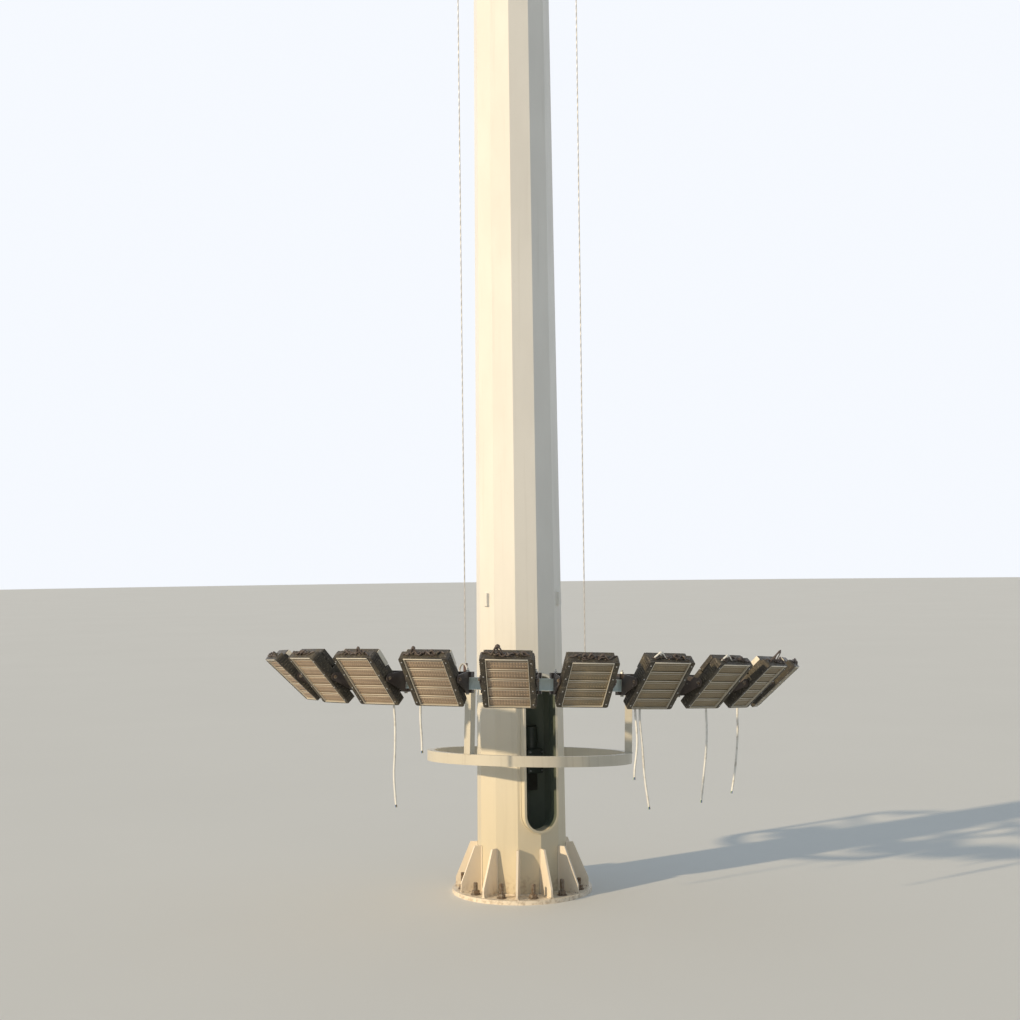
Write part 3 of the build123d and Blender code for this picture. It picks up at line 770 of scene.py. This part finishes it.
# The cage of the lamp ring: two square-tube hoops with posts between them and arms out to
# the lamp beam, welded up and painted the same white, with weld beads and arm bolts. Here
# that white is set darker and yellower than the mast's, as a painted shade near the ground.
# The cage's white, darkened as a painted shade.
ring_white_shaded = painted("ring_white_shaded", (0.595, 0.555, 0.46), (0.38, 0.335, 0.265), 0.3)
dress(ring_white_shaded, "lower_cage_ring", "upper_cage_ring", "cage_posts", "ring_arms")
post_circle = 0.685
post_square = [(-0.025, -0.025), (0.025, -0.025), (0.025, 0.025), (-0.025, 0.025)]
arm_low, arm_high = 1.4243, 1.4693
arm_square = [(-0.025, arm_low), (0.025, arm_low), (0.025, arm_high), (-0.025, arm_high)]
arm_bearings = [beam_bearing + (step - 1.5) * 48 for step in range(4)]
joins = bmesh.new()
for step in range(3):
    for height in (0.9623, 1.3837):
        path = [
            on_ring(-36 + 120 * step, post_circle + deep, height, across).translation
            for across, deep in post_square
        ]
        weld(joins, path, 0.0045, 0.005, closed=True)
for bearing in arm_bearings:
    for side in (-0.0255, 0.0255):
        run = [on_ring(bearing, radius, arm_low, side).translation for radius in (0.662, 0.706)]
        weld(joins, run, 0.004)
    end = [on_ring(bearing, 1.4862, height, across).translation for across, height in arm_square]
    weld(joins, end, 0.004, 0.005, closed=True)
for height, half in ((0.927, 0.034), (1.404, 0.019)):
    seam = [on_ring(150, 0.7102, height + up).translation for up in (-half, half)]
    weld(joins, seam, 0.003)
show("ring_welds", joins, ring_white_shaded, "lamp_ring", 80)
caps = bmesh.new()
for bearing in arm_bearings:
    for radius in (0.672, 0.698):
        washered(caps, on_ring(bearing, radius, arm_high) @ upward, 0.011, 0.002, 0.017, 0.009)
show("arm_bolts", caps, zinc.material, "lamp_ring")

# The lamp beam: a galvanised channel bent to half a circle, dull teal-grey, with drip marks
# below its bolt holes. Its colour is set near white, partly a painted light that lightens the
# channel's shaded web. Its ends are capped with small plates.
beam = Finish("beam_zinc", metallic=0.1)
weather = beam.noise(0.06, (1, 1, 0.5), detail=5)
runs = beam.between(beam.noise(0.014, (1, 1, 0.08), detail=4), 0.52, 0.72)
# Near-white zinc: partly painted light for the shaded web.
beam_colour_and_painted_light = beam.mix(weather, (0.86, 0.92, 0.88), (0.74, 0.81, 0.77))
beam.feed(
    base_color=beam.mix(runs * 0.3, beam_colour_and_painted_light, (0.46, 0.48, 0.43)),
    roughness=0.5 + weather * 0.2,
    normal=beam.bump(weather + runs * 0.5, 0.0005, 0.4),
)
dress(beam.material, "lamp_beam")

# Rope anchors: dark red-brown primed brackets, each with a wedge socket, a thimble loop and
# a nut, rusting a little at the edges.
primer = Finish("red_primer", roughness=0.6)
scuff = primer.noise(0.015, detail=6, rough=0.65)
primer.feed(
    base_color=primer.mix(primer.between(scuff, 0.4, 0.65), (0.085, 0.045, 0.042), (0.14, 0.08, 0.06)),
    roughness=0.5 + scuff * 0.35,
    normal=primer.bump(scuff, 0.0012, 0.6),
)
dress(primer.material, "rope_anchors")
clamps = bmesh.new()
thimbles = bmesh.new()
for socket in socket_tops:
    top = hung @ Matrix.Translation(socket)
    for low, high, radius in ((-0.124, -0.110, 0.021), (-0.078, -0.066, 0.0185), (-0.012, 0, 0.0155)):
        turned(
            clamps,
            top,
            [
                (radius - 0.002, low), (radius, low + 0.002), (radius, high - 0.002),
                (radius - 0.002, high), (0.0143, high), (0.0143, low),
            ],
            20,
        )
    from_ring = Vector((socket.x - ring_offset, socket.y, 0)).normalized()
    across = Vector((-from_ring.y, from_ring.x, 0))
    loop = []
    for step in range(41):
        turn = 2 * math.pi * step / 40
        drop = -0.04 + 0.037 * math.cos(turn)
        wide = 0.040 * math.sin(turn) * (1.1 - 0.25 * math.cos(turn))
        loop.append(top @ (across * wide + Vector((0, 0, drop)) + from_ring * 0.017))
    pipe(thimbles, loop[:-1], 0.0065, 10, closed=True)
    for side in (-0.026, 0.026):
        for reach in (-0.028, 0.024):
            seat = across * side + from_ring * reach + Vector((0, 0, -0.124))
            nut(clamps, top @ Matrix.Translation(seat), 0.016, 0.009)
show("rope_clamps", clamps, primer.material, "lamp_ring")
show("rope_thimbles", thimbles, strand.material, "lamp_ring")

# Lamp brackets: black powder-coated bars clamp the beam from above and below with zinc
# bolts, and two cheeks reach out to the lamp's pivots. Glands for the leads hang below.
coat = Finish("bracket_coat", coat_weight=0.1)
wear = coat.noise(0.03, detail=5)
dust = coat.between(coat.noise(0.09, detail=4), 0.42, 0.7)
coat_colour = coat.mix(dust, (0.045, 0.034, 0.029), (0.105, 0.080, 0.066))
coat.feed(
    base_color=coat.mix(coat.between(wear, 0.66, 0.7) * 0.6, coat_colour, (0.30, 0.28, 0.25)),
    roughness=0.45 + dust * 0.3,
    normal=coat.bump(coat.noise(0.0022), 0.0003, 0.6),
)
dress(coat.material, "lamp_brackets", "lead_clips")
bright = Finish("bright_zinc", metallic=0.55)
shine = bright.noise(0.008, detail=4)
bright.feed(
    base_color=bright.mix(shine, (0.78, 0.76, 0.70), (0.58, 0.56, 0.50)),
    roughness=0.3 + shine * 0.25,
    normal=bright.bump(shine, 0.0003, 0.4),
)
pivot_circle, pivot_height = 1.675, 1.459
bolts = bmesh.new()
pivots = bmesh.new()
for bearing in lamp_bearings:
    for side in (-0.15, 0.15):
        top = on_ring(bearing, 1.497, 1.5043, side) @ upward
        washered(bolts, top, 0.0125, 0.0025, 0.019, 0.009)
        thread(bolts, top, 0.006, 0.010, 0.0225, 0.00175)
        turned(bolts, top, [(0.006, -0.035), (0.006, -0.1085)], 12)
        under = on_ring(bearing, 1.4955, 1.3757, side) @ downward
        washered(bolts, under, 0.0122, 0.0025, 0.019, 0.0075)
    for side in (-1, 1):
        sideways = Matrix.Rotation(side * math.pi / 2, 4, "Y")
        cheek = on_ring(bearing, pivot_circle, pivot_height, side * 0.1718) @ sideways
        washered(pivots, cheek, 0.0125, 0.002, 0.0165, 0.007)
show("bracket_bolts", bolts, bright.material, "lamp_ring")
show("pivot_nuts", pivots, rusty.material, "lamp_ring")
glands = bmesh.new()
gland_cap = [
    (0.0108, -0.003), (0.0098, 0.001), (0.0085, 0.004), (0.0075, 0.0042), (0.0075, -0.003),
]
for number, along, _ in lead_routes.values():
    bearing = lamp_bearings[number - 1]
    seat = on_ring(bearing, bar_inner + clip_radius, clip_top, along) @ downward
    nut(glands, seat, 0.0235, 0.005)
    turned(glands, seat @ Matrix.Translation((0, 0, clip_height)), gland_cap, 18)
show("lead_glands", glands, coat.material, "lamp_ring")

# The floodlights: black powder-coated castings, dusty and dull from storage outdoors, with a
# bright aluminium lip round the light modules, side ribs, zinc screws and cable glands.
lamp_dips = [48, 44.2, 43.8, 44.2, 42.8, 47.2, 43.9, 46, 46, 46]
casting = Finish("lamp_coat", coat_weight=0.05)
haze = casting.between(casting.noise(0.07, detail=5), 0.4, 0.68)
rubbed = casting.between(casting.noise(0.012, detail=5), 0.57, 0.65)
casting_colour = casting.mix(haze, (0.034, 0.028, 0.019), (0.075, 0.063, 0.042))
casting.feed(
    base_color=casting.mix(rubbed * 0.5, casting_colour, (0.24, 0.205, 0.155)),
    roughness=0.5 + haze * 0.3,
    normal=casting.bump(casting.noise(0.002) + rubbed * 0.4, 0.0003, 0.6),
)
dress(casting.material, *[f"lamp_{number:02d}_housing" for number in range(1, 11)])
lip = Finish("lip_aluminium", metallic=0.35)
brushed = lip.noise(0.005, detail=3)
lip.feed(
    base_color=lip.mix(brushed, (0.74, 0.69, 0.58), (0.56, 0.52, 0.44)),
    roughness=0.35 + brushed * 0.2,
    normal=lip.bump(brushed, 0.0002, 0.4),
)


def tinted(name, colour, shaded_colour, roughness):
    """A plastic or lens colour, darker and greener to the right as a painted shade, with soft clouds.
    """
    plastic = Finish(name, coat_weight=0.2, coat_roughness=0.25)
    cloud = plastic.noise(0.05, detail=5)
    at = plastic.node("ShaderNodeTexCoord", output=3)
    across = plastic.node("ShaderNodeSeparateXYZ", sockets={0: at}, output=0)
    # Lamps further right, away from the sun, turn darker and greener: a painted shade.
    share = plastic.between(across + cloud * 0.3, 0.1, 0.65) * 0.8
    base = plastic.mix(share, colour, shaded_colour)
    base = plastic.mix(
        plastic.between(cloud, 0.45, 0.75) * 0.35, base, tuple(part * 0.6 for part in colour)
    )
    plastic.feed(
        base_color=base,
        roughness=roughness + cloud * 0.25,
        normal=plastic.bump(plastic.noise(0.003), 0.0002, 0.4),
    )
    return plastic.material


tray = tinted("module_tray", (0.33, 0.245, 0.17), (0.195, 0.16, 0.09), 0.5)
glass = tinted("module_lens", (0.335, 0.25, 0.175), (0.20, 0.165, 0.095), 0.3)
# Cream for the driver ends of some lamps: a painted sunlit highlight on their side plates.
driver_end_highlight = painted("driver_end_cream_highlight", (0.80, 0.74, 0.62), (0.46, 0.40, 0.30), 0.2)
black_cable = Finish("lamp_cable", roughness=0.5)
fade = black_cable.noise(0.02, detail=4)
black_cable.feed(
    base_color=black_cable.mix(fade, (0.042, 0.033, 0.028), (0.13, 0.098, 0.082)),
    normal=black_cable.bump(black_cable.noise(0.004), 0.0004, 0.5),
)


def lamp_face(number):
    """A lamp's place: x to the right, y up the slope and z with the light."""
    return (
        on_ring(lamp_bearings[number], pivot_circle, pivot_height)
        @ Matrix.Rotation(math.radians(lamp_dips[number]), 4, "X")
        @ Matrix.Translation((0, 0, 0.035))
    )


def smooth_run(points, count):
    """About count points, evenly spread along the smooth curve of a few control points."""
    made = smooth_line("run", points, max(2, count // (len(points) - 1)))
    holder = bpy.data.objects.new("run", made)
    run = bpy.data.meshes.new_from_object(holder)
    path = [vertex.co.copy() for vertex in run.vertices]
    bpy.data.objects.remove(holder)
    bpy.data.curves.remove(made)
    bpy.data.meshes.remove(run)
    return path


pocket_width, pocket_length = 0.250, 0.379
row_gap = 0.004
row_step = (pocket_length - row_gap) / 5
row_foot = -0.1875
rows = []
for row in range(5):
    low = row_foot + row_step * row + row_gap / 2
    rows.append((low, low + row_step - row_gap))
rib_line, bezel_line = 0.1612, 0.143
gland_nose = [(0.0095, 0.004), (0.0095, 0.012), (0.0075, 0.017), (0.005, 0.018)]
bezel_screw = [(0.0045, 0), (0.0044, 0.001), (0.0032, 0.0022), (0.0015, 0.0027), (0, 0.0027)]
lid_screw = [(0.0045, 0), (0.0042, 0.0014), (0.002, 0.0024), (0, 0.0024)]
lens_profile = [(0.0070, 0), (0.0062, 0.0012), (0.0038, 0.0024), (0, 0.0028)]
arch = [(-0.50, -0.05), (-0.34, 0.35), (-0.20, 0.85), (0.0, 1.15), (0.20, 0.8), (0.33, 0.3),
        (0.50, -0.05)]
knot = [(0.25, -0.05), (0.05, 0.45), (-0.16, 0.9), (0.0, 1.22), (0.17, 0.98), (0.02, 0.72),
        (-0.17, 0.95), (-0.05, 1.12), (-0.28, 0.4), (-0.42, 0.0)]
tangle_ends = [(-0.135, -0.02), (-0.10, 0.03), (-0.03, 0.10), (0.02, 0.135), (-0.06, 0.08)]
tangle_turns = 9
# Of each loop: where it stands, how high, wide and thick it is, and whether it is white
wire_loops = [
    [(0.02, 0.014, 0.05, 0.0045, False)],
    [(-0.02, 0.010, 0.10, 0.0045, False)],
    [(0.05, 0.034, 0.050, 0.0050, False), (-0.06, 0.012, 0.06, 0.0045, False)],
    [(-0.06, 0.040, 0.055, 0.0055, False), (0.055, 0.020, 0.06, 0.0045, False)],
    [(-0.053, 0.054, 0.080, 0.0055, False), (0.10, 0.012, 0.07, 0.0045, False)],
    [(-0.05, 0.020, 0.05, 0.0042, False), (-0.01, 0.024, 0.05, 0.0045, False),
     (0.06, 0.016, 0.06, 0.0045, False)],
    [(-0.08, 0.030, 0.09, 0.0040, True), (0.03, 0.018, 0.06, 0.0045, False)],
    [(-0.08, 0.026, 0.10, 0.0040, True), (0.06, 0.014, 0.06, 0.0045, False)],
    [(-0.06, 0.075, 0.100, 0.0034, False), (0.05, 0.020, 0.05, 0.0050, False)],
    [(-0.03, 0.018, 0.08, 0.0040, False)],
]
chance = random.Random(7)
for number in range(10):
    body = f"lamp_{number + 1:02d}"
    face = lamp_face(number)
    rim = bmesh.new()
    rings = []
    for grow, height in ((-0.002, -0.012), (-0.002, 0.0012), (0.0005, 0.0012), (0.001, 0.0003)):
        outline = rounded(pocket_width + 2 * grow, pocket_length + 2 * grow, 0.004, 3)
        rings.append([face @ Vector((*point, height)) for point in outline])
    skin(rim, rings, closed=True)
    slab(rim, face, (-0.1255, 0.1875, 0.0003), (0.1255, 0.1955, 0.0042), 0.0008)
    show(f"{body}_lip", rim, lip.material, body, 50)

    trim = bmesh.new()
    for side in (-1, 1):
        for step in range(21):
            up = -0.175 + 0.0175 * step
            if abs(up) > 0.02:
                low = (side * rib_line - 0.0018, up - 0.0030, -0.056)
                high = (side * rib_line + 0.0018, up + 0.0030, -0.008)
                slab(trim, face, low, high, 0.0005)
        low = (side * bezel_line - 0.010, -0.186, 0.0002)
        high = (side * bezel_line + 0.010, 0.186, 0.0022)
        slab(trim, face, low, high, 0.0008)
    slab(trim, face, (-0.150, 0.1965, -0.050), (0.150, 0.1990, -0.012), 0.001)
    for along in (-0.075, 0.085):
        gland = face @ Matrix.Translation((along, 0.198, -0.034)) @ upward
        nut(trim, gland, 0.022, 0.006)
        turned(trim, gland, gland_nose, 16)
    show(f"{body}_trim", trim, casting.material, body, 40)

    screws = bmesh.new()
    for side in (-1, 1):
        for up in (-0.165, -0.055, 0.055, 0.165):
            seat = face @ Matrix.Translation((side * bezel_line, up, 0.0022))
            turned(screws, seat, bezel_screw, 12)
    back = Matrix.Rotation(math.pi, 4, "X")
    for side in (-1, 1):
        for up in (0.062, 0.162):
            seat = face @ Matrix.Translation((side * 0.125, up, -0.1068)) @ back
            turned(screws, seat, lid_screw, 12)
    show(f"{body}_screws", screws, zinc.material, body, 50)

    lid = bmesh.new()
    box = face @ Matrix.Translation((0, 0.112, 0))
    prism(lid, box, rounded(0.283, 0.123, 0.009), -0.1067, -0.0615, 0.0015)
    for side in (-0.085, 0.085):
        slab(lid, face, (side - 0.02, 0.172, -0.066), (side + 0.02, 0.188, -0.0615), 0.001)
    show(f"{body}_driver", lid, casting.material, body, 40)
    ends = bmesh.new()
    for side in (-1, 1):
        low = (side * bezel_line - 0.0015, 0.053, -0.1085)
        high = (side * bezel_line + 0.0015, 0.171, -0.078)
        slab(ends, face, low, high, 0.0008)
    # Lamps 1, 3, 4, 9 and 10 get cream driver ends as a painted highlight; the rest keep the black
    # casting.
    colour = driver_end_highlight if number in (0, 2, 3, 8, 9) else casting.material
    show(f"{body}_driver_ends", ends, colour, body, 40)

    sink = bmesh.new()
    for step in range(23):
        along = -0.1375 + 0.0125 * step
        low, high = (along - 0.0012, -0.079, -0.1086), (along + 0.0012, 0.044, -0.1)
        slab(sink, face, low, high, 0.0004)
    show(f"{body}_sink", sink, casting.material, body, 40)

    wires, pale_wires = bmesh.new(), bmesh.new()
    for at, high, wide, thick, pale in wire_loops[number]:
        mesh = pale_wires if pale else wires
        for strand_path, lift in ((arch, 0), (knot, 0.006)):
            run = [
                Vector((at + across * wide, 0.2015 + up * high, -0.030 - lift - 0.01 * up))
                for across, up in strand_path
            ]
            pipe(mesh, [face @ point for point in smooth_run(run, 48)], thick, 7)
    for begin, finish in tangle_ends:
        tangle = []
        for step in range(tangle_turns + 1):
            along = begin + (finish - begin) * step / tangle_turns
            rise = chance.uniform(-0.002, 0.020) * math.sin(math.pi * step / tangle_turns)
            along += chance.uniform(-0.014, 0.014)
            back_by = 0.034 - chance.uniform(-0.022, 0.020)
            tangle.append(Vector((along, 0.2005 + rise, -back_by)))
        pipe(wires, [face @ point for point in smooth_run(tangle, 54)], 0.0042, 6)
    if len(pale_wires.verts):
        show(f"{body}_pale_wires", pale_wires, sheath.material, body, 60)
    else:
        pale_wires.free()
    show(f"{body}_wires", wires, black_cable.material, body, 60)

    panel = bmesh.new()
    for low, high in rows:
        slab(panel, face, (-0.122, low, -0.0135), (0.122, high, -0.0095), 0.0008)
    plates = len(panel.faces)
    for low, high in rows:
        slab(panel, face, (-0.121, high - 0.0042, -0.0095), (0.121, high - 0.0006, -0.0042), 0.0006)
        slab(panel, face, (-0.121, high - 0.0192, -0.0095), (0.121, high - 0.0174, -0.0056), 0.0004)
    rails = len(panel.faces)
    for row in range(5):
        middle = row_foot + row_step * (row + 0.5)
        for line_up in (-0.021, 0.003):
            for column in range(14):
                at = ((column - 6.5) * 0.0171, middle + line_up, -0.0096)
                turned(panel, face @ Matrix.Translation(at), lens_profile, 10)
    light = show(f"{body}_panel", panel, tray, body, 50)
    light.data.materials.append(lip.material)
    light.data.materials.append(glass)
    for index, polygon in enumerate(light.data.polygons):
        if index >= plates:
            polygon.material_index = 1 if index < rails else 2
    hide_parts(f"{body}_modules")

# The floor and the light: a pale level floor and a white background, with a low soft sun
# from the left of the camera and an even sky, so that a colour renders as it is written.
floor = bmesh.new()
bmesh.ops.create_circle(floor, cap_ends=True, segments=96, radius=120)
floor_data = bpy.data.meshes.new("floor")
floor.to_mesh(floor_data)
floor.free()
floor_object = bpy.data.objects.new("floor", floor_data)
bpy.context.scene.collection.objects.link(floor_object)
ground = Finish("pale_floor", roughness=0.9)
ground.feed(base_color=ground.mix(ground.noise(3), (0.70, 0.69, 0.66), (0.74, 0.73, 0.70)))
floor_data.materials.append(ground.material)

sky = bpy.data.worlds.new("sky")
bpy.context.scene.world = sky
sky.use_nodes = True
links = sky.node_tree.links
nodes = sky.node_tree.nodes
studio = nodes["Background"]
studio.inputs["Color"].default_value = (0.77, 0.89, 1, 1)
studio.inputs["Strength"].default_value = 0.48
backdrop = nodes.new("ShaderNodeBackground")
backdrop.inputs["Color"].default_value = (0.92, 0.95, 1, 1)
ray = nodes.new("ShaderNodeLightPath")
either = nodes.new("ShaderNodeMath")
either.operation = "MAXIMUM"
seen = nodes.new("ShaderNodeMath")
seen.operation = "MAXIMUM"
choose = nodes.new("ShaderNodeMixShader")
links.new(ray.outputs["Is Camera Ray"], either.inputs[0])
links.new(ray.outputs["Is Glossy Ray"], either.inputs[1])
links.new(either.outputs[0], seen.inputs[0])
links.new(ray.outputs["Is Transmission Ray"], seen.inputs[1])
links.new(seen.outputs[0], choose.inputs[0])
links.new(studio.outputs[0], choose.inputs[1])
links.new(backdrop.outputs[0], choose.inputs[2])
links.new(choose.outputs[0], nodes["World Output"].inputs[0])

sun_bearing = math.radians(-55.5)
sun_height = math.radians(18.5)
sun = bpy.data.lights.new("sun", "SUN")
sun.energy = 3.2
sun.angle = math.radians(1.5)
sun.color = (1, 0.80, 0.53)
sun_object = bpy.data.objects.new("sun", sun)
bpy.context.scene.collection.objects.link(sun_object)
towards = Vector(
    (
        math.sin(sun_bearing) * math.cos(sun_height),
        -math.cos(sun_bearing) * math.cos(sun_height),
        math.sin(sun_height),
    )
)
sun_object.rotation_mode = "QUATERNION"
sun_object.rotation_quaternion = towards.to_track_quat("Z", "Y")
bpy.context.scene.view_settings.view_transform = "Standard"
